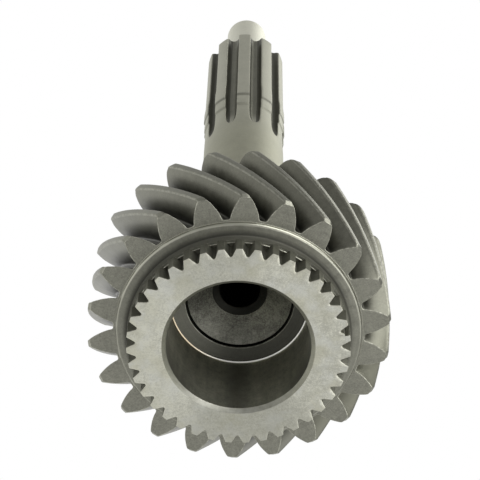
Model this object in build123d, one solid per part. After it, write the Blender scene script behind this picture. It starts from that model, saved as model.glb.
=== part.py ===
from build123d import *
from math import acos, asin, atan, cos, degrees, pi, radians, sin, sqrt, tan
import os

# Input gear of a manual gearbox: turned, hobbed and ground from one forging.
# In millimetres. The part stands on its dog ring, whose face is centred on the
# origin, and the shaft rises along +Z. The side towards the viewer is -Y.

# Helical gear
gear_teeth = 22
normal_module = 3.0
pressure_angle = 20.0
helix_angle = 34.5
profile_shift = 0.53
tip_height = 1.12
root_depth = 1.5
face_width = 31.4
tip_chamfer = 0.85
root_bevel = 0.45
flank_spans = 3
hob_overrun = 1.5
gear_phase = -88.45

# Dog ring that the sliding sleeve locks onto
dog_teeth = 39
dog_tip_diameter = 65.4
dog_tooth_height = 2.6
dog_tip_land = 1.75
dog_root_gap = 0.6
dog_length = 5.6
dog_overrun = 0.65
dog_phase = -90.6
ledge_depth = 0.5
ledge_drop = 1.0
nick_depth = 0.75
nick_height = 1.25
nick_setback = 1.6
nick_tooth = 9

# Collar between the dog ring and the gear
collar_thickness = 4.0
collar_step = 1.1
collar_inset = 0.9
collar_rim_bevel = 0.8
shoulder_cove = 0.8

# Pocket for the main shaft's pilot bearing, open at the ring face
pocket_diameter = 42.4
pocket_depth = 27.0
mouth_chamfer = 1.1
floor_rise = 1.2
floor_lip_diameter = 32.8
groove_width = 0.5
groove_depth = 1.2
cone_foot_rise = 0.67
cone_rise = 5.33
well_diameter = 16.8
well_rise = 0.8
oil_hole_diameter = 12.3
oil_hole_depth = 24.0
drill_point_angle = 118.0

# Bearing seat behind the gear
thrower_diameter = 47.0
thrower_width = 2.2
seat_diameter = 40.0
seat_length = 19.0
seat_chamfer = 0.8
ring_groove_width = 1.9
ring_groove_depth = 1.25
ring_groove_setback = 2.2
neck_length = 8.0

# Shaft, spline and pilot
shaft_diameter = 27.7
shaft_length = 75.2
band_step = 0.33
first_band_length = 7.8
second_band_length = 7.4
band_taper = 5.8
spline_count = 10
spline_diameter = 28.575
spline_root_diameter = 23.15
spline_land_width = 4.5
spline_length = 50.8
spline_end_chamfer = 1.5
spline_phase = -92.5
floor_corner_rise = 0.9
floor_shoulder_rise = 0.27
floor_shoulder_share = 0.6
cutter_radius = 36.0
cutter_lift = 1.4
cutter_overrun = 0.8
runout_reach = 14.5
pilot_diameter = 15.0
pilot_length = 32.4
pilot_end_chamfer = 1.0
centre_hole_diameter = 4.0
centre_hole_angle = 60.0

# Radii and pitch sizes that follow
transverse_module = normal_module / cos(radians(helix_angle))
pitch_radius = gear_teeth * transverse_module / 2
transverse_angle = atan(tan(radians(pressure_angle)) / cos(radians(helix_angle)))
base_radius = pitch_radius * cos(transverse_angle)
tip_radius = pitch_radius + normal_module * (tip_height + profile_shift)
root_radius = pitch_radius - normal_module * (root_depth - profile_shift)
pitch_thickness = transverse_module * (pi / 2 + 2 * profile_shift * tan(radians(pressure_angle)))
twist_per_mm = -degrees(tan(radians(helix_angle)) / pitch_radius)
dog_tip_radius = dog_tip_diameter / 2
dog_root_radius = dog_tip_radius - dog_tooth_height
collar_radius = root_radius - collar_inset
pocket_radius = pocket_diameter / 2
lip_radius = floor_lip_diameter / 2
well_radius = well_diameter / 2
oil_hole_radius = oil_hole_diameter / 2
thrower_radius = thrower_diameter / 2
seat_radius = seat_diameter / 2
shaft_radius = shaft_diameter / 2
spline_radius = spline_diameter / 2
spline_root_radius = spline_root_diameter / 2
band_radius = spline_radius + band_step
pilot_radius = pilot_diameter / 2

# Heights along the axis, each from the one before it
gear_front = dog_length + collar_thickness
gear_back = gear_front + face_width
seat_start = gear_back + thrower_width
seat_end = seat_start + seat_length
shaft_start = seat_end + neck_length
first_band = shaft_start + shaft_length
second_band = first_band + first_band_length
spline_start = second_band + second_band_length
spline_end = spline_start + spline_length
pilot_end = spline_end + pilot_length
lip_height = pocket_depth + floor_rise
cone_start = lip_height + groove_depth
cone_foot = lip_height + cone_foot_rise
well_height = cone_foot + cone_rise
oil_hole_start = well_height + well_rise


def spin(piece, angle):
    """A copy of the piece turned about the shaft."""
    return Rot(0, 0, angle) * piece


def at(radius, angle, height=0.0):
    """A point given by radius, angle in degrees and height."""
    turn = radians(angle)
    return Vector(radius * cos(turn), radius * sin(turn), height)


def section_of(outline):
    """The half section through the axis, from (radius, height) points."""
    points = [(radius, 0, height) for radius, height in outline]
    return make_face(Polyline(*points, close=True))


def blank():
    """The outside as it leaves the lathe, before any tooth is cut."""
    rim_height = gear_front - collar_step
    cove_bend = shoulder_cove / 4
    rim_bend = collar_rim_bevel / 4
    section = section_of([
        (0, 0),
        (dog_tip_radius, 0),
        (dog_tip_radius, rim_height - shoulder_cove),
        (dog_tip_radius + cove_bend, rim_height - cove_bend),
        (dog_tip_radius + shoulder_cove, rim_height),
        (collar_radius - collar_rim_bevel, rim_height),
        (collar_radius - rim_bend, rim_height + rim_bend),
        (collar_radius, rim_height + collar_rim_bevel),
        (collar_radius, gear_front),
        (tip_radius - tip_chamfer, gear_front),
        (tip_radius, gear_front + tip_chamfer),
        (tip_radius, gear_back - tip_chamfer),
        (tip_radius - tip_chamfer, gear_back),
        (thrower_radius, gear_back),
        (thrower_radius, seat_start),
        (seat_radius, seat_start),
        (seat_radius, seat_end - seat_chamfer),
        (seat_radius - seat_chamfer, seat_end),
        (shaft_radius, shaft_start),
        (shaft_radius, first_band),
        (spline_radius, first_band + band_step),
        (spline_radius, second_band - band_step),
        (band_radius, second_band),
        (band_radius, spline_start),
        (spline_radius, spline_start + band_taper),
        (spline_radius, spline_end - spline_end_chamfer),
        (spline_radius - spline_end_chamfer, spline_end),
        (pilot_radius, spline_end),
        (pilot_radius, pilot_end - pilot_end_chamfer),
        (pilot_radius - pilot_end_chamfer, pilot_end),
        (0, pilot_end),
    ])
    return revolve(section, Axis.Z)


def pocket():
    """The bearing pocket with its mouth chamfer, stepped conical floor and oil hole."""
    groove_inside = lip_radius - groove_width
    hole_end = oil_hole_start + oil_hole_depth
    point_rise = oil_hole_radius / tan(radians(drill_point_angle / 2))
    section = section_of([
        (0, -mouth_chamfer),
        (pocket_radius + 2 * mouth_chamfer, -mouth_chamfer),
        (pocket_radius, mouth_chamfer),
        (pocket_radius, pocket_depth),
        (lip_radius, lip_height),
        (lip_radius, cone_start),
        (groove_inside, cone_start),
        (groove_inside, cone_foot),
        (well_radius, well_height),
        (oil_hole_radius, oil_hole_start),
        (oil_hole_radius, hole_end),
        (0, hole_end + point_rise),
    ])
    return revolve(section, Axis.Z)


def retaining_groove():
    """The groove for the bearing's retaining ring, near the end of its seat."""
    groove_end = seat_end - ring_groove_setback
    floor = seat_radius - ring_groove_depth
    clear = seat_radius + ring_groove_depth
    band = Cylinder(clear, ring_groove_width, align=(Align.CENTER, Align.CENTER, Align.MAX))
    core = Cylinder(floor, ring_groove_width, align=(Align.CENTER, Align.CENTER, Align.MAX))
    return Pos(0, 0, groove_end) * (band - core)


def centre_hole():
    """The lathe centre in the pilot's end."""
    radius = centre_hole_diameter / 2
    depth = radius / tan(radians(centre_hole_angle / 2))
    return Pos(0, 0, pilot_end - depth / 2) * Cone(0, radius, depth)


def involute(angle):
    """The involute function of an angle in radians."""
    return tan(angle) - angle


def half_space_angle(radius):
    """Half the angle of a tooth space at a radius, between two involute flanks."""
    flank_angle = acos(min(1.0, base_radius / radius))
    half_tooth = pitch_thickness / (2 * pitch_radius)
    half_tooth += involute(transverse_angle) - involute(flank_angle)
    return 180 / gear_teeth - degrees(half_tooth)


def tooth_space():
    """One helical tooth space, swept through the whole face with the lead's twist."""
    start = gear_front - hob_overrun
    length = face_width + 2 * hob_overrun
    clear = tip_radius + hob_overrun
    middle = gear_phase + 180 / gear_teeth - twist_per_mm * hob_overrun
    half_root = root_radius * radians(half_space_angle(root_radius))
    bevel = min(root_bevel, half_root / 2)
    root_angle = degrees((half_root - bevel) / root_radius)
    low = root_radius + bevel
    heights = [low + (clear - low) * k / flank_spans for k in range(flank_spans + 1)]
    right = [at(r, middle - half_space_angle(r), start) for r in heights]
    left = [at(r, middle + half_space_angle(r), start) for r in heights]
    root_right = at(root_radius, middle - root_angle, start)
    root_left = at(root_radius, middle + root_angle, start)
    section = make_face([
        Line(root_right, right[0]),
        Spline(*right),
        Line(right[-1], left[-1]),
        Spline(*left),
        Line(left[0], root_left),
        ThreePointArc(root_left, at(root_radius, middle, start), root_right),
    ])
    return Solid.extrude_linear_with_rotation(
        section.faces()[0], (0, 0, start), (0, 0, length), twist_per_mm * length
    )


def dog_flank_slope():
    """How much half a dog tooth space widens for each millimetre outwards."""
    tip_gap = 2 * pi * dog_tip_radius / dog_teeth - dog_tip_land
    return (tip_gap - dog_root_gap) / dog_tooth_height / 2


def dog_space(reach, height, middle):
    """One straight-sided dog tooth space, out to a reach and up to a height."""
    half_root = dog_root_gap / 2
    half_outer = half_root + dog_flank_slope() * (reach - dog_root_radius)
    section = make_face(Polyline(
        (dog_root_radius, -half_root, 0),
        (reach, -half_outer, 0),
        (reach, half_outer, 0),
        (dog_root_radius, half_root, 0),
        close=True,
    ))
    return spin(extrude(section, height, dir=(0, 0, 1)), middle)


def dog_spaces():
    """All dog tooth spaces, each ending on a small ledge against the shoulder."""
    pitch = 360 / dog_teeth
    cuts = []
    for k in range(dog_teeth):
        middle = dog_phase + pitch * (k + 0.5)
        cuts.append(dog_space(dog_tip_radius + dog_overrun, dog_length, middle))
        cuts.append(dog_space(dog_tip_radius - ledge_drop, dog_length + ledge_depth, middle))
    return cuts


def nick():
    """The chip missing from the flank of one dog tooth, through its length."""
    middle = dog_phase + 360 / dog_teeth * (nick_tooth - 0.5)
    low = dog_tip_radius - nick_setback
    slope = dog_flank_slope()
    flank = dog_root_gap / 2 + slope * (low - dog_root_radius)
    section = make_face(Polyline(
        (low, 0, 0),
        (low, flank + nick_depth, 0),
        (low + nick_height, flank + slope * nick_height, 0),
        (low + nick_height, 0, 0),
        close=True,
    ))
    return spin(extrude(section, dog_length, dir=(0, 0, 1)), middle)


def spline_groove():
    """One groove between parallel-sided lands, running out where the cutter lifts.

    The cutter's tip is rounded in flats, so the run-out ends in a point.
    """
    half_land = spline_land_width / 2
    half_pitch = 180 / spline_count
    clear = band_radius + cutter_overrun
    corner_radius = spline_root_radius + floor_corner_rise
    corner_angle = half_pitch - degrees(asin(half_land / corner_radius))
    outer_angle = half_pitch - degrees(asin(half_land / clear))
    depth = shaft_radius - spline_root_radius
    runout_length = sqrt(2 * cutter_radius * depth - depth**2)
    full_depth = first_band - runout_reach + runout_length
    corner = at(corner_radius, corner_angle, full_depth)
    outer = at(clear, outer_angle, full_depth)
    shoulder = Vector(
        spline_root_radius + floor_shoulder_rise, corner.Y * floor_shoulder_share, full_depth
    )
    right = [shoulder, corner, outer]
    left = [Vector(point.X, -point.Y, point.Z) for point in reversed(right)]
    section = make_face(Polyline(
        *left, Vector(spline_root_radius, 0, full_depth), *right, close=True
    ))
    lift = degrees(acos(1 - (depth + cutter_lift) / cutter_radius))
    cutter_axis = Axis((spline_root_radius + cutter_radius, 0, full_depth), (0, -1, 0))
    straight = extrude(section, pilot_end - full_depth, dir=(0, 0, 1))
    runout = revolve(section, cutter_axis, lift)
    return straight + runout


def input_gear():
    """The whole part: the turned blank less its pocket, teeth, grooves and nick."""
    space = tooth_space()
    groove = spline_groove()
    groove_middle = spline_phase + 180 / spline_count
    cuts = [pocket(), retaining_groove(), centre_hole(), nick()]
    cuts += dog_spaces()
    cuts += [spin(space, 360 / gear_teeth * k) for k in range(gear_teeth)]
    cuts += [spin(groove, groove_middle + 360 / spline_count * k) for k in range(spline_count)]
    return blank() - cuts


os.makedirs("parts", exist_ok=True)
export_step(input_gear(), "parts/input_gear.step")
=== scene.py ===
import cmath
from math import acos, asin, atan, cos, degrees, exp, inf, pi, radians, sin, sqrt, tan

import bmesh
import bpy
from mathutils import Matrix, Vector


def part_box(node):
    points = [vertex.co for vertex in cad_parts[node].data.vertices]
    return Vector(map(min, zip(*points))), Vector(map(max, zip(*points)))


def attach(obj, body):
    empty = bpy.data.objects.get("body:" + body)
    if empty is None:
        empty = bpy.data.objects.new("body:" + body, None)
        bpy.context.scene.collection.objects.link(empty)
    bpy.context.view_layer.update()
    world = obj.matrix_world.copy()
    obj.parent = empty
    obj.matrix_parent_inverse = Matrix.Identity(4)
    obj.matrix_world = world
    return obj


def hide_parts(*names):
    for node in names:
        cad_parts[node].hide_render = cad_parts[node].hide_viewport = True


# An input gear standing on its dog ring: one piece of steel, skinned loop by loop
# round the shaft's axis. Sizes are in millimetres and angles in degrees. A phase is
# the angle at which one tooth or land stands, from the +X side towards the +Y side.

MM = 0.001
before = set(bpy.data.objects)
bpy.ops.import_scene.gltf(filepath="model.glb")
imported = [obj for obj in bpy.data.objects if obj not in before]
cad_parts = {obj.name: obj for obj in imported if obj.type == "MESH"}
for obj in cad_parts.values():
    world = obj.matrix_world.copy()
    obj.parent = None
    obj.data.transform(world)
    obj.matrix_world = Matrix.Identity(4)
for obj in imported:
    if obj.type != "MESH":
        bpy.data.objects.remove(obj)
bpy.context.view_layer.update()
high_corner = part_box("input_gear")[1]
tip_radius = high_corner.x / MM
pilot_end = high_corner.z / MM

# Dog ring
dog_teeth = 39
dog_tip_radius = 32.7
dog_tooth_height = 2.6
dog_tip_land = 1.75
dog_root_gap = 0.6
dog_length = 5.6
dog_phase = -90.6
dog_edge = 0.1
dog_corner = 0.16
dog_land_drop = 0.03
dog_flank_steps = 9
ledge_drop = 1.0
ledge_depth = 0.5
ledge_lead = 0.3
burr_height = 0.14
burr_crest = 0.06
burr_foot = 0.2

# The chip in one dog tooth
chip_tooth = 9
chip_setback = 1.6
chip_height = 1.25
chip_depth = 0.75

# Collar
collar_thickness = 4.0
collar_step = 1.1
collar_radius = 36.42
collar_foot = 0.1
cove_radius = 1.2
rim_radius = 0.9

# Helical gear, whose teeth are rounded at the back end over back_rounding, along back_rows
gear_teeth = 22
normal_module = 3.0
pressure_angle = 20.0
helix_angle = 34.5
profile_shift = 0.53
root_depth = 1.5
face_width = 31.4
tip_chamfer = 0.85
tip_rounding = 0.6
root_fillet = 0.6
face_edge = 0.16
back_rounding = 1.5
back_corner = 1.5
back_rows = (0.3, 0.5, 0.65, 0.77, 0.87)
gear_phase = -88.45
gear_steps = 20
flank_steps = 10

# Pocket and oil hole
pocket_radius = 21.2
pocket_depth = 27.0
pocket_points = 192
pocket_middle = 14.0
pocket_corner_lead = 0.3
pocket_corner = ((0.05, -0.15), (0.14, -0.06), (0.45, 0.04))
mouth_chamfer_width = 1.1
mouth_break = 0.05
mouth_edge_width = 0.12
mouth_edge_height = 0.1
floor_rise = 1.2
floor_lip_radius = 16.4
lip_rounding = 0.35
groove_width = 0.5
groove_depth = 1.2
cone_foot_rise = 0.67
cone_rise = 5.33
cone_edge_width = 0.15
cone_edge_height = 0.1
well_radius = 8.4
well_rise = 0.8
oil_hole_radius = 6.15
oil_hole_edge = 0.2
oil_hole_depth = 24.0
drill_point_depth = 3.7

# Oil thrower, bearing seat and neck
thrower_radius = 23.5
thrower_width = 2.2
thrower_edge = 0.3
seat_radius = 20.0
seat_length = 19.0
seat_chamfer = 0.8
ring_groove_width = 1.9
ring_groove_depth = 1.25
ring_groove_setback = 2.2
neck_length = 8.0

# Shaft and its two raised bands
shaft_radius = 13.85
shaft_length = 75.2
shaft_rows = (90.0, 110.0)
band_step = 0.33
step_edge_rise = 0.1
step_edge_run = 0.3
first_step_run = 0.4
first_band_length = 7.8
second_band_length = 7.4
band_taper = 5.8

# Spline
spline_count = 10
spline_radius = 14.2875
spline_root_radius = 11.575
half_land = 2.25
spline_length = 50.8
spline_end_rounding = 1.6
spline_phase = -92.5
floor_corner_rise = 0.9
groove_points = 12
land_corner = 0.28
runout_reach = 14.5
cutter_radius = 36.0

# Pilot and its lathe centre
pilot_radius = 7.5
pilot_rounding = 2.0
centre_hole_radius = 2.0
centre_hole_depth = 3.46

# Heights along the axis, from the ring face up
gear_front = dog_length + collar_thickness
gear_back = gear_front + face_width
seat_start = gear_back + thrower_width
seat_end = seat_start + seat_length
ring_groove_high = seat_end - ring_groove_setback
ring_groove_low = ring_groove_high - ring_groove_width
shaft_start = seat_end + neck_length
first_band = shaft_start + shaft_length
second_band = first_band + first_band_length
spline_start = second_band + second_band_length
taper_end = spline_start + band_taper
spline_end = spline_start + spline_length
runout_start = first_band - runout_reach
ledge_height = dog_length + ledge_depth
collar_face = gear_front - collar_step
lip_height = pocket_depth + floor_rise
groove_floor = lip_height + groove_depth
cone_foot_height = lip_height + cone_foot_rise
well_height = cone_foot_height + cone_rise
oil_hole_start = well_height + well_rise
oil_hole_end = oil_hole_start + oil_hole_depth
drill_point = oil_hole_end + drill_point_depth

# Radii that follow
dog_root_radius = dog_tip_radius - dog_tooth_height
ledge_radius = dog_tip_radius - ledge_drop
chip_foot = dog_tip_radius - chip_setback
mouth_radius = pocket_radius + mouth_chamfer_width
cone_foot_radius = floor_lip_radius - groove_width
ring_groove_radius = seat_radius - ring_groove_depth
band_radius = spline_radius + band_step

# Tooth form that follows
transverse_module = normal_module / cos(radians(helix_angle))
pitch_radius = gear_teeth * transverse_module / 2
transverse_angle = atan(tan(radians(pressure_angle)) / cos(radians(helix_angle)))
base_radius = pitch_radius * cos(transverse_angle)
root_radius = pitch_radius - normal_module * (root_depth - profile_shift)
pitch_thickness = transverse_module * (pi / 2 + 2 * profile_shift * tan(radians(pressure_angle)))
twist_per_mm = -degrees(tan(radians(helix_angle)) / pitch_radius)

# Seams of the mesh on flat faces, as distances from the teeth's roots or the thrower
ring_seam_inside = 1.6
ring_seam_outside = 0.9
front_seam = 0.25
back_seam = 0.6
thrower_seam = 6.0

# Mesh: closer spots than same_spot are merged, a hair is too little to tell two radii
# apart, a loop on the axis keeps axis_radius so that its columns keep their angles,
# and edges sharper than crease_angle stay sharp
same_spot = 0.0002
hair = 0.01
tiny = 1e-9
axis_radius = 0.0001
crease_angle = 38
flat_face_weight = 80

# Camera and studio
camera_place = (0.54, -296.6, -501.0)
camera_right = (0.99970, -0.02118, 0.01269)
camera_up = (-0.02465, -0.88655, 0.46198)
camera_lens = 150
lamp_size = 1200
lamp_distance = 1500
floor_radius = 6000
floor_gap = 0.3

# The lit side of the studio, seen from the gear. Reflections see it white as far as
# fully_lit, the cosine to that side, and dimmer from there on round to the far side
lit_towards = (-0.56, 0.83, 0.05)
fully_lit = 0.72
far_side_light = 0.05
darkest_reflection = 0.3


def spot(radius, angle):
    """A point of a cross-section, as a complex number."""
    return cmath.rect(radius, radians(angle))


def circle(radius, count):
    """An even ring of points."""
    return [spot(radius, 360 * k / count) for k in range(count)]


def inset(section, depth):
    """A closed cross-section moved inwards along its own normals."""
    moved = []
    for k, here in enumerate(section):
        along = section[(k + 1) % len(section)] - section[k - 1]
        moved.append(here + 1j * along / abs(along) * depth)
    return moved


def trimmed(section, limit):
    """A cross-section cut back to a radius."""
    return [p if abs(p) <= limit else p / abs(p) * limit for p in section]


def eased(section, limit, softness):
    """A cross-section bent in under a radius, with round corners."""
    start = limit - softness
    return [
        p if abs(p) <= start else p / abs(p) * (limit - softness * exp((start - abs(p)) / softness))
        for p in section
    ]


def pushed(section, radius):
    """A cross-section filled out to a radius."""
    return [p if abs(p) >= radius else p / abs(p) * radius for p in section]


def at_radius(section, radius):
    """The points of a cross-section drawn onto one circle, each at its own angle."""
    return [p / abs(p) * radius for p in section]


def mirrored(half, pitch, phase):
    """Half a pitch of (radius, angle) points, mirrored and repeated round the axis."""
    whole = half + [(radius, pitch - angle) for radius, angle in reversed(half[1:-1])]
    turns = round(360 / pitch)
    return [spot(r, phase + pitch * turn + a) for turn in range(turns) for r, a in whole]


def quarter(steps):
    """Sine and cosine pairs through a right angle."""
    return [(sin(pi / 2 * k / steps), cos(pi / 2 * k / steps)) for k in range(steps + 1)]


def half_space_angle(radius):
    """Half the angle of a gear tooth space at a radius, between involute flanks."""
    flank = acos(min(1.0, base_radius / radius))
    half_tooth = pitch_thickness / (2 * pitch_radius)
    half_tooth += tan(transverse_angle) - transverse_angle - tan(flank) + flank
    return 180 / gear_teeth - degrees(half_tooth)


def gear_section():
    """The helical gear's outline in the plane of its front face."""
    half = []
    root_angle = half_space_angle(root_radius) - degrees(root_fillet / root_radius)
    for k in range(3):
        half.append((root_radius, root_angle * k / 3))
    for rise, run in quarter(4):
        radius = root_radius + root_fillet * (1 - run)
        back = degrees(root_fillet * (1 - rise) / radius)
        half.append((radius, half_space_angle(radius) - back))
    flank_foot = root_radius + root_fillet
    flank_top = tip_radius - tip_rounding
    for k in range(1, flank_steps + 1):
        radius = flank_foot + (flank_top - flank_foot) * k / flank_steps
        half.append((radius, half_space_angle(radius)))
    for rise, run in quarter(3)[1:]:
        radius = flank_top + tip_rounding * rise
        half.append((radius, half_space_angle(flank_top) + degrees(tip_rounding * (1 - run) / radius)))
    pitch = 360 / gear_teeth
    last = half[-1][1]
    half += [(tip_radius, last + (pitch / 2 - last) * share) for share in (0.5, 1.0)]
    return mirrored(half, pitch, gear_phase + pitch / 2)


def dog_section():
    """The dog ring's outline with all its teeth whole."""
    tip_gap = 2 * pi * dog_tip_radius / dog_teeth - dog_tip_land
    slope = (tip_gap - dog_root_gap) / dog_tooth_height / 2
    half = [(dog_root_radius, 0.0), (dog_root_radius, degrees(dog_corner / dog_root_radius))]
    low, high = dog_root_radius + dog_corner, dog_tip_radius - dog_corner
    for k in range(dog_flank_steps + 1):
        radius = low + (high - low) * k / dog_flank_steps
        reach = dog_root_gap / 2 + slope * (radius - dog_root_radius)
        half.append((radius, degrees(reach / radius)))
    for rise, run in quarter(3)[1:]:
        radius = high + dog_corner * rise
        reach = dog_root_gap / 2 + slope * (high - dog_root_radius) + dog_corner * (1 - run)
        half.append((radius, degrees(reach / radius)))
    pitch = 360 / dog_teeth
    last = half[-1][1]
    half += [(dog_tip_radius, last + (pitch / 2 - last) * share) for share in (0.5, 1.0)]
    return mirrored(half, pitch, dog_phase + pitch / 2)


def chipped(section):
    """The dog ring's outline with the chip out of one tooth's flank."""
    section = list(section)
    pitch_points = len(section) // dog_teeth
    flank_start = (chip_tooth - 1) * pitch_points
    for k in range(flank_start, flank_start + pitch_points // 2 + 1):
        rise = abs(section[k]) - chip_foot
        if 0 <= rise <= chip_height:
            depth = chip_depth * (1 - rise / chip_height)
            section[k] *= cmath.rect(1, depth / abs(section[k]))
    return section


def groove_outline(outside, lift):
    """Half a groove's outline from the shaft's surface to its middle, along its own x.

    The lift is how far the cutter has come out; where it has left the shaft, every
    point is on the surface at the groove's middle.
    """
    half_pitch = radians(180 / spline_count)
    corner = cmath.rect(spline_root_radius + floor_corner_rise, half_pitch)
    corner -= cmath.rect(half_land, half_pitch + pi / 2)
    corner = complex(spline_root_radius + floor_corner_rise, corner.imag)
    bend = (corner.imag**2 + floor_corner_rise**2) / (2 * floor_corner_rise)
    swing = asin(corner.imag / bend)
    bottom = []
    for k in range(13):
        turn = swing * k / 12
        bottom.append(complex(spline_root_radius + lift + bend * (1 - cos(turn)), bend * sin(turn)))
    rise = (outside + 2) / cos(half_pitch)
    line = bottom + [bottom[-1] + cmath.rect(rise * k / 24, half_pitch) for k in range(1, 25)]
    inner = [p for p in line if abs(p) < outside]
    if not inner:
        return [complex(outside, 0)] * groove_points
    after = line[len(inner)]
    share = (outside - abs(inner[-1])) / (abs(after) - abs(inner[-1]))
    line = inner + [inner[-1] + (after - inner[-1]) * share]
    line.reverse()
    lengths = [0.0]
    for one, other in zip(line, line[1:]):
        lengths.append(lengths[-1] + abs(other - one))
    total = lengths[-1]
    even = [total * k / (groove_points - 2) for k in range(groove_points - 1)]
    marks = sorted(even + [min(land_corner, 0.2 * total)])
    outline = []
    for mark in marks:
        k = max(i for i in range(len(line)) if lengths[i] <= mark + tiny)
        if k == len(line) - 1:
            outline.append(line[k])
            continue
        span = lengths[k + 1] - lengths[k]
        outline.append(line[k] + (line[k + 1] - line[k]) * ((mark - lengths[k]) / max(span, tiny)))
    return outline


def spline_section(outside, lift):
    """The shaft's outline at a height where the cutter has lifted by some amount."""
    groove = groove_outline(outside, lift)
    half_pitch = 180 / spline_count
    edge = half_pitch - degrees(cmath.phase(groove[0]))
    depth = outside - abs(groove[-1])
    corner = min(land_corner, 0.4 * depth)
    back = edge - degrees(corner / outside)
    half = [(outside, back * k / 5) for k in range(6)]
    half.append((outside - 0.25 * corner, edge - degrees(0.25 * corner / outside)))
    half += [(abs(p), half_pitch - degrees(cmath.phase(p))) for p in groove[1:]]
    return mirrored(half, 2 * half_pitch, spline_phase)


class Skin:
    """The part's surface, built from closed loops round the axis."""

    def __init__(self):
        self.spots = []
        self.heights = []
        self.faces = []
        self.finishes = []

    def loop(self, section, height):
        """Adds a loop at a height, or at one height for each point."""
        first = len(self.spots)
        if not isinstance(height, list):
            height = [height] * len(section)
        self.spots += section
        self.heights += height
        return list(range(first, len(self.spots)))

    def face(self, corners, finish):
        self.faces.append(corners)
        self.finishes.append(finish)

    def band(self, one, other, finish):
        """Joins two loops with as many points; a list gives each column's own finish."""
        for k in range(len(one)):
            name = finish if isinstance(finish, str) else finish[k]
            self.face((one[k - 1], one[k], other[k], other[k - 1]), name)

    def tube(self, start, stations, finish):
        """Carries a loop through (section, height) stations and gives the last loop."""
        for section, height in stations:
            following = self.loop(section, height)
            self.band(start, following, finish)
            start = following
        return start

    def turned(self, start, profile, finish):
        """Carries a loop through (radius, height) places, as on a lathe."""
        section = [self.spots[k] for k in start]
        stations = [(at_radius(section, max(radius, axis_radius)), height) for radius, height in profile]
        return self.tube(start, stations, finish)

    def stitched(self, one, other, finish):
        """Joins two loops whose numbers of points differ, by triangles."""
        zero = self.spots[one[0]]

        def unrolled(loop):
            turns = sorted((degrees(cmath.phase(self.spots[k] / zero)) % 360, k) for k in loop)
            return turns + [(turns[0][0] + 360, turns[0][1])]

        first, second = unrolled(one), unrolled(other)
        i = j = 0
        while i < len(one) or j < len(other):
            if j == len(other) or (i < len(one) and first[i + 1][0] <= second[j + 1][0]):
                self.face((first[i][1], first[i + 1][1], second[j][1]), finish)
                i += 1
            else:
                self.face((first[i][1], second[j + 1][1], second[j][1]), finish)
                j += 1

    def closed(self, name, materials):
        """Makes the object: one closed mesh with its finishes and crease lines."""
        mesh = bpy.data.meshes.new(name)
        points = [(p.real * MM, p.imag * MM, h * MM) for p, h in zip(self.spots, self.heights)]
        mesh.from_pydata(points, [], self.faces)
        order = list(materials)
        for finish in order:
            mesh.materials.append(materials[finish])
        mesh.polygons.foreach_set("material_index", [order.index(f) for f in self.finishes])
        work = bmesh.new()
        work.from_mesh(mesh)
        bmesh.ops.remove_doubles(work, verts=work.verts, dist=same_spot * MM)
        bmesh.ops.dissolve_degenerate(work, edges=work.edges, dist=same_spot * MM)
        bmesh.ops.recalc_face_normals(work, faces=work.faces)
        for piece in work.faces:
            piece.smooth = True
        work.to_mesh(mesh)
        work.free()
        mesh.set_sharp_from_angle(angle=radians(crease_angle))
        part = bpy.data.objects.new(name, mesh)
        bpy.context.scene.collection.objects.link(part)
        even = part.modifiers.new("even", "WEIGHTED_NORMAL")
        even.keep_sharp = True
        even.weight = flat_face_weight
        return part


def gear_stations(section):
    """The gear's cross-sections from its front face to its back face."""
    stations = []

    def place(height, depth=0.0):
        twist = twist_per_mm * (height - gear_front)
        limit = tip_radius - max(0.0, tip_chamfer - (height - gear_front))
        outline = trimmed(inset(section, depth) if depth else section, limit)
        left = max(0.0, back_rounding - (gear_back - height))
        if left > 0:
            limit = tip_radius - back_rounding + sqrt(back_rounding**2 - left**2)
            outline = eased(outline, limit, back_corner * left / back_rounding)
        stations.append(([p * spot(1, twist) for p in outline], height))

    edge = [(face_edge * (1 - rise), face_edge * (1 - run)) for rise, run in quarter(2)]
    for depth, height in edge:
        place(gear_front + height, depth)
    front_row = gear_front + tip_chamfer
    back_row = gear_back - back_rounding
    for k in range(gear_steps + 1):
        place(front_row + (back_row - front_row) * k / gear_steps)
    for share in back_rows:
        place(back_row + back_rounding * share)
    for depth, height in reversed(edge):
        place(gear_back - height, depth)
    return stations


def cutter_lift(height):
    """How far the cutter has come out of its groove at a height."""
    depth = shaft_radius - spline_root_radius
    runout = sqrt(2 * cutter_radius * depth - depth**2)
    left = min(cutter_radius, max(0.0, runout_start + runout - height))
    return cutter_radius - sqrt(cutter_radius**2 - left**2)


def shaft_outside():
    """The shaft's (height, radius) outline from the neck to the end of the spline."""
    step_foot = first_band + band_step
    last_step = second_band - band_step
    end = [
        (spline_end - spline_end_rounding * (1 - rise), spline_radius - spline_end_rounding * (1 - run))
        for rise, run in quarter(6)
    ]
    plain = [(height, shaft_radius) for height in (shaft_start,) + shaft_rows]
    return plain + [
        (first_band - step_edge_run, shaft_radius),
        (first_band, shaft_radius + step_edge_rise),
        (step_foot, spline_radius - step_edge_rise),
        (step_foot + first_step_run, spline_radius),
        (last_step - step_edge_run, spline_radius),
        (last_step, spline_radius + step_edge_rise),
        (second_band, band_radius - step_edge_rise),
        (second_band + step_edge_run, band_radius),
        (spline_start, band_radius),
        (taper_end, spline_radius),
    ] + end


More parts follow.
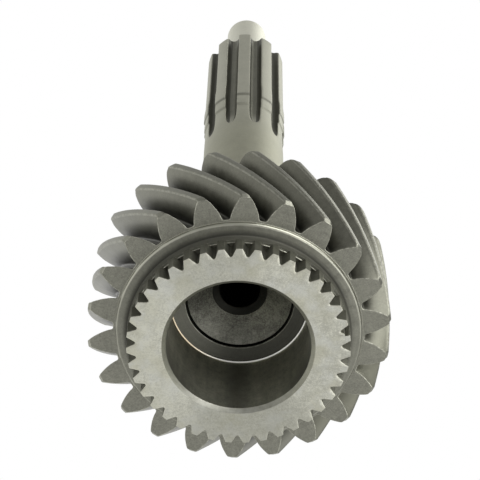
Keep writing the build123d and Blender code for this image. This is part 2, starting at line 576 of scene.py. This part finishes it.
def shaft_stations():
    """Cross-sections of the shaft, with the run-outs' own heights added."""
    outline = shaft_outside()
    length = sqrt(2 * cutter_radius * (shaft_radius - spline_root_radius))
    runout = [runout_start + length * (k / 16) ** 1.5 for k in range(17)]
    stations = []
    for height in sorted({level for level, _ in outline} | set(runout)):
        after = next(k for k, (level, _) in enumerate(outline) if level >= height)
        high, outside = outline[after]
        if high > height:
            low, inside = outline[after - 1]
            outside = inside + (outside - inside) * (height - low) / (high - low)
        stations.append((spline_section(outside, cutter_lift(height)), height))
    return stations


def by_radius(section, steps):
    """A finish for each column of a section, by the radius its two points reach."""
    columns = []
    for k, here in enumerate(section):
        reach = min(abs(here), abs(section[k - 1]))
        columns.append(next(finish for limit, finish in steps if reach <= limit))
    return columns


def collar_profile():
    """The collar's (radius, height) curve: cove, flat face and round rim."""
    cove_end = dog_tip_radius + cove_radius
    cove = [
        (cove_end - cove_radius * run, collar_face - cove_radius * (1 - rise))
        for rise, run in quarter(6)
    ]
    rim = [
        (collar_radius - rim_radius * (1 - rise), collar_face + rim_radius * (1 - run))
        for rise, run in quarter(10)
    ]
    return cove + rim


def ring_face(skin, dog, whole_dog):
    """The ground face from the pocket's mouth out to the teeth; gives both its edges."""
    mouth = skin.loop(circle(mouth_radius + mouth_edge_width, pocket_points), 0)
    inside = skin.turned(mouth, [(dog_root_radius - ring_seam_inside, 0)], "ring face")
    teeth_edge = skin.loop(inset(dog, dog_edge), 0)
    seam = at_radius(whole_dog, dog_root_radius - ring_seam_outside)
    outside = skin.tube(teeth_edge, [(seam, 0)], "ring face")
    skin.stitched(inside, outside, "ring face")
    return mouth, teeth_edge


def dog_ring(skin, teeth_edge, dog, whole_dog):
    """The dog teeth and the ledges at the ends of their spaces, out to the shoulder."""
    land_edge = dog_tip_radius - dog_land_drop
    columns = by_radius(dog, [(land_edge, "dog flank"), (inf, "dog land")])
    broken_edge = [
        (inset(dog, dog_edge * (1 - rise)), dog_edge * (1 - run)) for rise, run in quarter(2)[1:]
    ]
    end = [ledge_height if abs(p) < ledge_radius else dog_length for p in dog]
    tops = skin.tube(teeth_edge, broken_edge, "bare edge")
    walls = skin.tube(tops, [(dog, dog_length - ledge_lead), (dog, end)], columns)
    burr = [dog_length - burr_height if h > dog_length else h for h in end]
    ledge = pushed(dog, ledge_radius)
    inner_ledge = skin.tube(walls, [(ledge, end), (ledge, burr)], "dog flank")
    ledge_line = skin.tube(inner_ledge, [
        (pushed(dog, ledge_radius + burr_crest), burr),
        (pushed(dog, ledge_radius + burr_foot), dog_length),
    ], "ledge")
    return skin.tube(ledge_line, [(at_radius(whole_dog, dog_tip_radius), dog_length)], "dog flank")


def collar(skin, shoulder):
    """The collar, rounded over its rim and down to the gear's face."""
    foot = [
        (collar_radius + collar_foot * (1 - run), gear_front - collar_foot * (1 - rise))
        for rise, run in quarter(4)[1:]
    ]
    return skin.turned(shoulder, collar_profile() + foot, "collar")


def helical_gear(skin, collar_end):
    """The gear from its front face to its back face."""
    teeth = gear_section()
    stations = gear_stations(teeth)
    tooth_faces = skin.loop(*stations[0])
    face_foot = skin.turned(tooth_faces, [(root_radius - front_seam, gear_front)], "gear face")
    skin.stitched(collar_end, face_foot, "gear face")
    columns = by_radius(teeth, [
        (tip_radius - tip_rounding - hair, "flank"),
        (tip_radius - hair, "tip edge"),
        (inf, "tip land"),
    ])
    chamfer_columns = ["tip chamfer" if name == "tip land" else name for name in columns]
    edge = skin.tube(tooth_faces, stations[1:3], "deburred edge")
    chamfered = skin.tube(edge, stations[3:4], chamfer_columns)
    end = skin.tube(chamfered, stations[4:], columns)
    return skin.turned(end, [(root_radius - back_seam, gear_back)], "gear face")


def seat_and_neck(skin, gear_end, section):
    """The oil thrower, the bearing seat with its retaining ring groove, and the neck."""
    thrower = skin.loop(at_radius(section, thrower_radius + thrower_seam), gear_back)
    skin.stitched(gear_end, thrower, "gear face")
    thrower = skin.turned(thrower, [
        (thrower_radius, gear_back),
        (thrower_radius, seat_start - thrower_edge),
        (thrower_radius - thrower_edge, seat_start),
        (seat_radius, seat_start),
    ], "gear face")
    seat = skin.turned(thrower, [
        (seat_radius, ring_groove_low),
        (ring_groove_radius, ring_groove_low),
        (ring_groove_radius, ring_groove_high),
        (seat_radius, ring_groove_high),
        (seat_radius, seat_end - seat_chamfer),
        (seat_radius - seat_chamfer, seat_end),
    ], "seat")
    return skin.tube(seat, [(section, shaft_start)], "shaft")


def splined_shaft(skin, neck, stations):
    """The shaft with its run-outs and bands, then the spline and its end face."""
    cut_from = next(k for k, (_, height) in enumerate(stations) if height > runout_start)
    full_spline = next(section for section, height in stations if height >= taper_end)
    columns = by_radius(full_spline, [
        (spline_root_radius + floor_corner_rise * 0.3, "groove floor"),
        (spline_radius - land_corner * 1.5, "groove wall"),
        (inf, "shaft"),
    ])
    plain = skin.tube(neck, stations[1:cut_from], "shaft")
    lands = skin.tube(plain, stations[cut_from:], columns)
    return skin.turned(lands, [(pilot_radius + 0.4, spline_end)], "groove floor")


def pilot(skin, spline_face):
    """The pilot journal with its rounded end, and its lathe centre."""
    barrel = pilot_end - pilot_rounding
    end_round = [
        (pilot_radius - pilot_rounding * (1 - run), barrel + pilot_rounding * rise)
        for rise, run in quarter(8)
    ]
    end = skin.turned(spline_face, [(pilot_radius, spline_end + 0.4)] + end_round, "pilot")
    skin.turned(end, [(centre_hole_radius, pilot_end), (0, pilot_end - centre_hole_depth)], "pilot")


def pocket(skin, mouth):
    """The bearing pocket: mouth chamfer, wall, stepped conical floor and oil hole."""
    chamfer = skin.turned(mouth, [
        (mouth_radius, mouth_edge_height),
        (pocket_radius + mouth_break, mouth_chamfer_width - mouth_break),
    ], "mouth")
    wall = skin.turned(chamfer, [
        (pocket_radius, mouth_chamfer_width + 2 * mouth_break),
        (pocket_radius, pocket_middle),
        (pocket_radius, pocket_depth - pocket_corner_lead),
    ], "pocket wall")
    corner_round = [(pocket_radius - inward, pocket_depth + rise) for inward, rise in pocket_corner]
    corner = skin.turned(wall, corner_round, "corner line")
    lip_round = [
        (floor_lip_radius + lip_rounding * (1 - rise), lip_height + lip_rounding * (1 - run))
        for rise, run in quarter(4)
    ]
    bottom = skin.turned(corner, lip_round[:1], "pocket floor")
    lip = skin.turned(bottom, lip_round[1:], "lip")
    groove = skin.turned(lip, [
        (floor_lip_radius, groove_floor),
        (cone_foot_radius, groove_floor),
        (cone_foot_radius, cone_foot_height + cone_edge_height),
    ], "oil hole")
    cone = skin.turned(groove, [
        (cone_foot_radius - cone_edge_width, cone_foot_height),
        (well_radius, well_height),
    ], "cone")
    skin.turned(cone, [
        (well_radius - cone_edge_width, well_height + cone_edge_height),
        (oil_hole_radius + oil_hole_edge, oil_hole_start - cone_edge_height),
        (oil_hole_radius, oil_hole_start + cone_edge_width),
        (oil_hole_radius, oil_hole_end),
        (0, drill_point),
    ], "oil hole")


def skin_of_the_part():
    """Every surface of the part, from the ring face to the pilot's end and the pocket."""
    skin = Skin()
    whole_dog = dog_section()
    dog = chipped(whole_dog)
    shaft = shaft_stations()
    mouth, teeth_edge = ring_face(skin, dog, whole_dog)
    shoulder = dog_ring(skin, teeth_edge, dog, whole_dog)
    gear_end = helical_gear(skin, collar(skin, shoulder))
    neck = seat_and_neck(skin, gear_end, shaft[0][0])
    pilot(skin, splined_shaft(skin, neck, shaft))
    pocket(skin, mouth)
    return skin


class Value:
    """A number or colour that changes over a surface, with its sums in Python."""

    def __init__(self, nodes, socket):
        self.nodes = nodes
        self.socket = socket

    def maths(self, operation, *terms):
        return self.nodes.made("ShaderNodeMath", {"operation": operation}, dict(enumerate(terms)))

    def __add__(self, other):
        return self.maths("ADD", self, other)

    __radd__ = __add__

    def __sub__(self, other):
        return self.maths("SUBTRACT", self, other)

    def __rsub__(self, other):
        return self.maths("SUBTRACT", other, self)

    def __mul__(self, other):
        return self.maths("MULTIPLY", self, other)

    __rmul__ = __mul__

    def __truediv__(self, other):
        return self.maths("DIVIDE", self, other)

    def above(self, level, softness):
        """0 below a level, 1 above it, with a soft step between."""
        spread = {"interpolation_type": "SMOOTHSTEP", "clamp": True}
        ends = {0: self, 1: level - softness, 2: level + softness, 3: 0.0, 4: 1.0}
        return self.nodes.made("ShaderNodeMapRange", spread, ends)

    def within(self, low, high, softness):
        return self.above(low, softness) * (1 - self.above(high, softness))


class Nodes:
    """A node tree, filled by calls that each add one node."""

    def __init__(self, tree, output):
        self.tree = tree
        self.tree.nodes.clear()
        self.output = self.tree.nodes.new(output)

    def node(self, kind, settings, inputs):
        node = self.tree.nodes.new(kind)
        for name, setting in settings.items():
            setattr(node, name, setting)
        for name, given in inputs.items():
            if isinstance(given, Value):
                self.tree.links.new(given.socket, node.inputs[name])
            else:
                node.inputs[name].default_value = given
        return node

    def made(self, kind, settings, inputs, output=0):
        return Value(self, self.node(kind, settings, inputs).outputs[output])

    def point(self, x, y):
        return self.made("ShaderNodeCombineXYZ", {}, {"X": x, "Y": y})

    def mixed(self, share, one, other):
        """One colour turning into another as the share goes from 0 to 1."""
        settings = {"data_type": "RGBA", "clamp_factor": True}
        inputs = {"Factor": share, 6: one, 7: other}
        return self.made("ShaderNodeMix", settings, inputs, 2)


class Steel(Nodes):
    """One steel finish, with its place on the part and its grain to paint by.

    Radius, height and across are in millimetres. The angle runs round the axis in
    radians, from the +X side towards the +Y side.
    """

    def __init__(self, name):
        self.material = bpy.data.materials.new(name)
        self.material.use_nodes = True
        super().__init__(self.material.node_tree, "ShaderNodeOutputMaterial")
        self.place = self.made("ShaderNodeTexCoord", {}, {}, "Object")
        split = self.node("ShaderNodeSeparateXYZ", {}, {"Vector": self.place})
        x, y, height = (Value(self, split.outputs[k]) for k in range(3))
        flat = self.point(x=x, y=y)
        self.radius = self.made("ShaderNodeVectorMath", {"operation": "LENGTH"}, {0: flat}, "Value") / MM
        self.angle = x.maths("ARCTAN2", y, x)
        self.across = x / MM
        self.height = height / MM
        self.cloud = self.noise(85, 3)
        self.mottle = self.noise(420, 3)
        self.fine = self.noise(1700, 3)
        self.speck = self.noise(3600, 2)

    def noise(self, scale, detail=3.0, place=None):
        inputs = {"Vector": place or self.place, "Scale": scale, "Detail": detail, "Roughness": 0.6}
        return self.made("ShaderNodeTexNoise", {}, inputs, "Fac")

    def scores(self, across, size):
        """Tool marks that run round the axis, across a radius or a height."""
        around = self.angle * (0.25 / size)
        return self.noise(1.0, 3, self.point(x=across * (1 / size), y=around))

    def marbled(self, depth):
        """A number near 0 that wanders by a depth with the mottle."""
        return (self.mottle - 0.5) * depth

    def tone(self, cloud=0.3, mottle=0.3, fine=0.25, speck=0.15, contrast=2.6):
        """The clouding and grain of the steel, from 0 to 1 and mostly near a half."""
        mixture = cloud * self.cloud + mottle * self.mottle + fine * self.fine + speck * self.speck
        return (mixture - 0.5 * (cloud + mottle + fine + speck)) * contrast + 0.5

    def greys(self, tone, dark, light, warmth=1.0):
        return self.mixed(tone, grey(dark, warmth), grey(light, warmth))

    def tinted(self, colour, share, dark, warmth=1.0):
        """A colour going over to a grey by a share."""
        return self.mixed(share, colour, grey(dark, warmth))

    def metal(self, colour, rough, relief, depth):
        """The metal surface, with relief as bumps of a depth in millimetres."""
        normal = self.made("ShaderNodeBump", {}, {"Height": relief, "Distance": depth * MM})
        inputs = {"Base Color": colour, "Metallic": 1.0, "Roughness": rough, "Normal": normal}
        shader = self.node("ShaderNodeBsdfPrincipled", {}, inputs)
        self.tree.links.new(shader.outputs[0], self.output.inputs[0])
        return self.material


def grey(level, warmth=1.0):
    """The steel's slightly warm, greenish grey at a brightness."""
    return (level, level * (1 - 0.004 * warmth), level * (1 - 0.17 * warmth), 1.0)


def ground_face():
    """The ring face: fine grinding marks, clouding, faint stains, painted light towards the -X side and
    two fans of painted shade.
    """
    steel = Steel("ground_face")
    marks = steel.scores(steel.radius, 0.35)
    streaks = steel.noise(1.0, 2, steel.point(x=steel.radius * 1.2, y=steel.angle * 26))
    tone = steel.tone(0.4, 0.6, 0.9, 1.1, 2.1) + (marks - 0.5) * 0.7 + (streaks - 0.5) * 0.9
    # Painted light: the face grows lighter towards the -X side
    tone = tone + 0.05 - steel.across * 0.008
    colour = steel.greys(tone, 0.385, 0.585, 0.85)
    stain = steel.noise(75, 3).above(0.53, 0.12) * 0.5
    colour = steel.mixed(stain, colour, (0.43, 0.42, 0.32, 1.0))
    bleached = steel.noise(130, 3).above(0.57, 0.1) * 0.45
    colour = steel.mixed(bleached, colour, (0.56, 0.57, 0.54, 1.0))
    # Painted shade: two fans round the axis are darkened
    near_painted_shade_fan = steel.angle.within(0.82, 2.1, 0.28) * 0.45
    far_painted_shade_fan = steel.angle.within(-2.3, -1.4, 0.2) * 0.3
    colour = steel.tinted(colour, near_painted_shade_fan + far_painted_shade_fan, 0.23)
    rough = 0.37 + steel.marbled(0.2)
    return steel.metal(colour, rough, marks * 0.4 + steel.fine * 0.6, 0.012)


def plain_steel(name, dark, light, rough, warmth=1.0):
    """Steel with clouding and grain but no tool marks."""
    steel = Steel(name)
    colour = steel.greys(steel.tone(), dark, light, warmth)
    return steel.metal(colour, rough + steel.marbled(0.2), steel.fine, 0.015)


def turned_steel(name, dark, light, rough, size=0.3, along="height", warmth=1.0):
    """Turned steel, with fine marks round the axis, along its radius or its height."""
    steel = Steel(name)
    marks = steel.scores(getattr(steel, along), size)
    tone = steel.tone(contrast=2.2) + (marks - 0.5) * 0.6
    colour = steel.greys(tone, dark, light, warmth)
    relief = marks * 0.6 + steel.fine * 0.4
    return steel.metal(colour, rough + steel.marbled(0.15), relief, 0.015)


def tooth_face():
    """The gear's end faces: turned, then darkened, with crossing scratches."""
    steel = Steel("tooth_face")
    marks = steel.scores(steel.radius, 0.45)
    cross = steel.noise(1.0, 2, steel.point(x=steel.radius * 0.5, y=steel.angle * 110))
    tone = steel.tone(0.3, 0.45, 0.7, 0.8, 1.6) + (marks - 0.5) * 0.6 + (cross - 0.5) * 0.6
    colour = steel.greys(tone, 0.15, 0.27)
    rough = 0.46 + steel.marbled(0.2)
    return steel.metal(colour, rough, marks * 0.5 + steel.fine * 0.5, 0.02)


def tooth_flank():
    """Helical flanks: satin near the tips, with painted light over one side of the gear and painted
    shade, nearly black, down in the roots.
    """
    steel = Steel("tooth_flank")
    colour = steel.greys(steel.tone(0.5, 0.45, 0.4, 0.4, 1.9), 0.15, 0.255, 1.1)
    # Painted light: the flanks on one side of the gear are lighter
    painted_light_side = steel.angle.within(0.15, 1.15, 0.3)
    colour = steel.tinted(colour, painted_light_side * 0.8, 0.39, 1.3)
    # Painted shade, nearly black, down towards the roots, less where the painted light is
    root_shade = 1 - (steel.radius + steel.marbled(1.5)).above(39.9, 3.0)
    colour = steel.tinted(colour, root_shade * (0.8 - painted_light_side * 0.45), 0.045)
    rough = 0.38 + steel.marbled(0.2)
    return steel.metal(colour, rough, steel.fine * 0.6 + steel.mottle * 0.4, 0.02)


def worn_edge(name, dark, light, rough):
    """A deburred edge: bare and bright in short dashes, dull between them."""
    steel = Steel(name)
    dashes = steel.noise(900, 2).above(0.5, 0.12)
    colour = steel.greys(dashes, dark, light)
    return steel.metal(colour, rough, steel.fine, 0.015)


def dog_flank():
    """Dog tooth flanks and spaces, dark with a lighter line at the ring face."""
    steel = Steel("dog_flank")
    colour = steel.greys(steel.tone(), 0.16, 0.28)
    worn = (1 - steel.height.above(0.4, 0.25)) * 0.3
    colour = steel.tinted(colour, worn, 0.4)
    return steel.metal(colour, 0.5, steel.fine, 0.015)


def collar_steel():
    """The collar: soft turned marks, a painted highlight over the rim, brighter on one side, and painted
    shade by the teeth, less of it on one side.
    """
    steel = Steel("collar")
    marks = steel.scores(steel.radius, 0.3)
    tone = steel.tone(0.3, 0.5, 0.7, 0.6, 1.6) + (marks - 0.5) * 0.5
    colour = steel.greys(tone, 0.165, 0.25)
    # Painted shade in the cove by the dog teeth, less of it on one side
    inner = 1 - (steel.radius + steel.marbled(0.4)).above(dog_tip_radius + 1.1, 0.85)
    less_shade_side = steel.angle.within(-0.4, 0.3, 0.2)
    colour = steel.tinted(colour, inner * (0.9 - less_shade_side * 0.4), 0.05)
    neck = 1 - steel.radius.above(dog_tip_radius + 0.15, 0.12)
    colour = steel.tinted(colour, neck, 0.2)
    # Painted highlight over the rim, stronger along one side
    rim = (steel.radius + steel.marbled(0.2)).above(collar_radius - 0.57, 0.22)
    painted_light_side = steel.angle.within(-2.75, -0.7, 0.35)
    colour = steel.tinted(colour, rim, 0.32)
    colour = steel.tinted(colour, rim * painted_light_side, 0.53)
    rough = 0.42 + steel.marbled(0.2) - rim * 0.1 + inner * 0.22
    return steel.metal(colour, rough, marks * 0.5 + steel.fine * 0.5, 0.02)


def shaft_steel():
    """The shaft and lands, paler towards the far end, with painted shade down the +X side of the far end
    and a ring at each band's step.
    """
    steel = Steel("shaft")
    marks = steel.scores(steel.height, 0.5)
    tone = steel.tone(0.4, 0.4, 0.3, 0.25, 1.8) + (marks - 0.5) * 0.3
    paler = steel.height.above(runout_start + 4.1, 22.0)
    near = steel.greys(tone, 0.34, 0.45, 1.3)
    colour = steel.mixed(paler, near, steel.greys(tone, 0.42, 0.54))
    # Painted shade down the +X side, towards the far end
    painted_shade_side = steel.across.above(7.5, 5.0) * paler
    colour = steel.tinted(colour, painted_shade_side * 0.3, 0.3)
    first = steel.height.within(first_band - 0.6, first_band + 0.7, 0.6) * 0.25
    second = steel.height.within(second_band - 1.0, second_band + 0.5, 0.6) * 0.5
    colour = steel.tinted(colour, first + second, 0.1)
    rough = 0.57 + steel.marbled(0.12)
    return steel.metal(colour, rough, marks * 0.6 + steel.fine * 0.4, 0.012)


def groove_steel():
    """The spline's groove floors, dark, and lighter where the cutter ran out."""
    steel = Steel("groove_floor")
    colour = steel.greys(steel.tone(), 0.15, 0.24, 1.3)
    runout = 1 - (steel.height + steel.marbled(4)).above(runout_start + 9.1, 5.0)
    colour = steel.tinted(colour, runout * 0.9, 0.42, 1.2)
    return steel.metal(colour, 0.45, steel.fine, 0.01)


def pocket_wall():
    """The pocket's dark wall, with faint streaks along the axis, painted shade near the mouth except
    along one side, and a band of painted shade down its middle.
    """
    steel = Steel("pocket_wall")
    streaks = steel.noise(1.0, 3, steel.point(x=steel.angle * 9, y=steel.height * 0.03))
    tone = steel.tone(0.5, 0.7, 0.5, 0.4, 1.6) + (streaks - 0.5) * 0.9
    colour = steel.greys(tone, 0.32, 0.62)
    # Painted shade near the mouth, except along one side
    painted_shade_by_mouth = (1 - steel.height.above(8.0, 6.0)) * (1 - steel.angle.within(0.7, 2.4, 0.3))
    colour = steel.tinted(colour, painted_shade_by_mouth * 0.6, 0.12)
    # Painted shade: a dark band down the +Y side of the wall
    middle = steel.angle.within(1.42, 1.72, 0.14)
    colour = steel.tinted(colour, middle * 0.5, 0.12)
    return steel.metal(colour, 0.5, steel.mottle, 0.01)


def mouth_chamfer():
    """The pocket's mouth chamfer, with a mottled painted highlight along one side."""
    steel = Steel("mouth_chamfer")
    marks = steel.scores(steel.radius, 0.3)
    tone = steel.tone(0.4, 0.5, 0.5, 0.4, 1.8) + (marks - 0.5) * 0.5
    colour = steel.greys(tone, 0.23, 0.34, 1.2)
    # Painted highlight, mottled, along one side of the chamfer
    painted_light_side = steel.angle.within(1.0, 2.5, 0.5) * steel.mottle
    colour = steel.tinted(colour, painted_light_side, 0.55, 0.6)
    return steel.metal(colour, 0.4, marks * 0.6 + steel.fine * 0.4, 0.015)


def corner_line():
    """The bare ring in the pocket's corner, its grey raised to a painted highlight, straw coloured and
    dimmer along one side.
    """
    steel = Steel("corner_line")
    # Painted highlight: the bare ring's grey is raised nearly to white
    colour = steel.greys(steel.mottle, 0.85, 1.0, 0.4)
    straw = steel.angle.within(2.0, 3.3, 0.4)
    colour = steel.mixed(straw, colour, (0.4, 0.34, 0.24, 1.0))
    return steel.metal(colour, 0.3, steel.fine, 0.01)


def pocket_cone():
    """The pocket's conical floor: turned, with a coarse speckle and painted light over the outer part of
    one side.
    """
    steel = Steel("pocket_cone")
    marks = steel.scores(steel.radius, 0.35)
    tone = steel.tone(0.5, 0.6, 0.9, 0.8, 2.4) + (marks - 0.5) * 0.5
    colour = steel.greys(tone, 0.09, 0.24, 0.8)
    # Painted light over the outer part of one side of the cone
    painted_light_patch = steel.angle.within(0.9, 2.7, 0.6) * steel.radius.above(12.0, 3.5)
    colour = steel.tinted(colour, painted_light_patch * 0.4 * steel.mottle, 0.5, 0.8)
    return steel.metal(colour, 0.42, marks * 0.5 + steel.fine * 0.5, 0.02)


def finishes():
    """The finish of each part of the surface."""
    return {
        "ring face": ground_face(),
        "bare edge": worn_edge("bare_edge", 0.4, 0.55, 0.35),
        "dog flank": dog_flank(),
        "dog land": plain_steel("dog_land", 0.2, 0.32, 0.42),
        "ledge": worn_edge("dog_ledge", 0.29, 0.52, 0.38),
        "collar": collar_steel(),
        "gear face": tooth_face(),
        "deburred edge": worn_edge("deburred_edge", 0.24, 0.42, 0.4),
        "flank": tooth_flank(),
        "tip edge": worn_edge("tip_edge", 0.24, 0.32, 0.4),
        "tip land": turned_steel("tip_land", 0.2, 0.33, 0.42),
        "tip chamfer": turned_steel("tip_chamfer", 0.24, 0.36, 0.36, along="radius"),
        "seat": turned_steel("bearing_seat", 0.46, 0.54, 0.36, 0.2),
        "shaft": shaft_steel(),
        "groove wall": plain_steel("groove_wall", 0.06, 0.13, 0.5, 1.4),
        "groove floor": groove_steel(),
        "pilot": turned_steel("pilot", 0.68, 0.82, 0.6, 0.25, warmth=0.8),
        "mouth": mouth_chamfer(),
        "pocket wall": pocket_wall(),
        "corner line": corner_line(),
        "pocket floor": turned_steel("pocket_floor", 0.05, 0.09, 0.4, 0.35, "radius"),
        "lip": worn_edge("lip", 0.1, 0.17, 0.35),
        "cone": pocket_cone(),
        # The oil hole and the groove by the lip are nearly black, as painted shade
        "oil hole": plain_steel("oil_hole", 0.008, 0.02, 0.45),
    }


def floor_material():
    """A pale floor that shows from above, and lets all other light by."""
    material = bpy.data.materials.new("floor")
    material.use_nodes = True
    nodes = Nodes(material.node_tree, "ShaderNodeOutputMaterial")
    path = nodes.node("ShaderNodeLightPath", {}, {})
    side = nodes.node("ShaderNodeNewGeometry", {}, {})
    seen = Value(nodes, path.outputs["Is Camera Ray"]) * (1 - Value(nodes, side.outputs["Backfacing"]))
    cloth = nodes.node("ShaderNodeBsdfDiffuse", {}, {"Color": (0.94, 0.94, 0.93, 1.0)})
    clear = nodes.node("ShaderNodeBsdfTransparent", {}, {})
    mix = nodes.node("ShaderNodeMixShader", {}, {"Fac": seen})
    nodes.tree.links.new(clear.outputs[0], mix.inputs[1])
    nodes.tree.links.new(cloth.outputs[0], mix.inputs[2])
    nodes.tree.links.new(mix.outputs[0], nodes.output.inputs[0])
    return material


def floor():
    """A wide round floor just under the ring face."""
    mesh = bpy.data.meshes.new("floor")
    work = bmesh.new()
    bmesh.ops.create_circle(work, cap_ends=True, segments=96, radius=floor_radius * MM)
    work.to_mesh(mesh)
    work.free()
    ground = bpy.data.objects.new("floor", mesh)
    ground.location.z = -floor_gap * MM
    mesh.materials.append(floor_material())
    bpy.context.scene.collection.objects.link(ground)


def camera():
    """The photograph's view: a long lens looking up past the ring face."""
    data = bpy.data.cameras.new("camera")
    data.sensor_width = 36
    data.lens = camera_lens
    data.clip_start = 0.01
    data.clip_end = 50
    right = Vector(camera_right)
    back = right.cross(Vector(camera_up)).normalized()
    up = back.cross(right)
    eye = bpy.data.objects.new("camera", data)
    turn = Matrix((right, up, back)).transposed().to_4x4()
    eye.matrix_world = Matrix.Translation(Vector(camera_place) * MM) @ turn
    bpy.context.scene.collection.objects.link(eye)
    bpy.context.scene.camera = eye


def lamp(name, direction, power):
    """A large soft box facing the gear from a direction."""
    data = bpy.data.lights.new(name, "AREA")
    data.energy = power
    data.size = lamp_size * MM
    box = bpy.data.objects.new(name, data)
    aim = Vector(direction).normalized()
    box.location = aim * lamp_distance * MM
    box.rotation_mode = "QUATERNION"
    box.rotation_quaternion = (-aim).to_track_quat("-Z", "Y")
    bpy.context.scene.collection.objects.link(box)


def studio():
    """White for the camera, and in reflections white that dims towards one dark side."""
    world = bpy.data.worlds.new("studio")
    world.use_nodes = True
    nodes = Nodes(world.node_tree, "ShaderNodeOutputWorld")
    path = nodes.node("ShaderNodeLightPath", {}, {})
    camera_ray = Value(nodes, path.outputs["Is Camera Ray"])
    glossy_ray = Value(nodes, path.outputs["Is Glossy Ray"])
    clear_ray = Value(nodes, path.outputs["Is Transmission Ray"])
    facing = nodes.made("ShaderNodeTexCoord", {}, {}, "Generated")
    sides = {0: facing, 1: lit_towards}
    lit_side = nodes.made("ShaderNodeVectorMath", {"operation": "DOT_PRODUCT"}, sides, "Value")
    ends = {0: lit_side, 1: -1.0, 2: fully_lit, 3: far_side_light, 4: 1.0}
    dimmed = nodes.made("ShaderNodeMapRange", {"clamp": True}, ends)
    room = dimmed.maths("MAXIMUM", dimmed, darkest_reflection)
    seen = camera_ray + clear_ray
    strength = seen + (1 - seen) * (glossy_ray * room + (1 - glossy_ray))
    white = nodes.node("ShaderNodeBackground", {}, {"Color": (1, 1, 1, 1), "Strength": strength})
    nodes.tree.links.new(white.outputs[0], nodes.output.inputs[0])
    bpy.context.scene.world = world
    lamp("key", (0.57, -0.81, -0.16), 12.1)
    lamp("rim", (0.72, -0.11, 0.69), 8.0)
    lamp("front", (0.60, 0.08, -0.79), 10.2)


camera()
studio()
floor()
gear = skin_of_the_part().closed("gear_skin", finishes())
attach(gear, "root")
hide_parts("input_gear")

bpy.context.scene.view_settings.view_transform = "Standard"
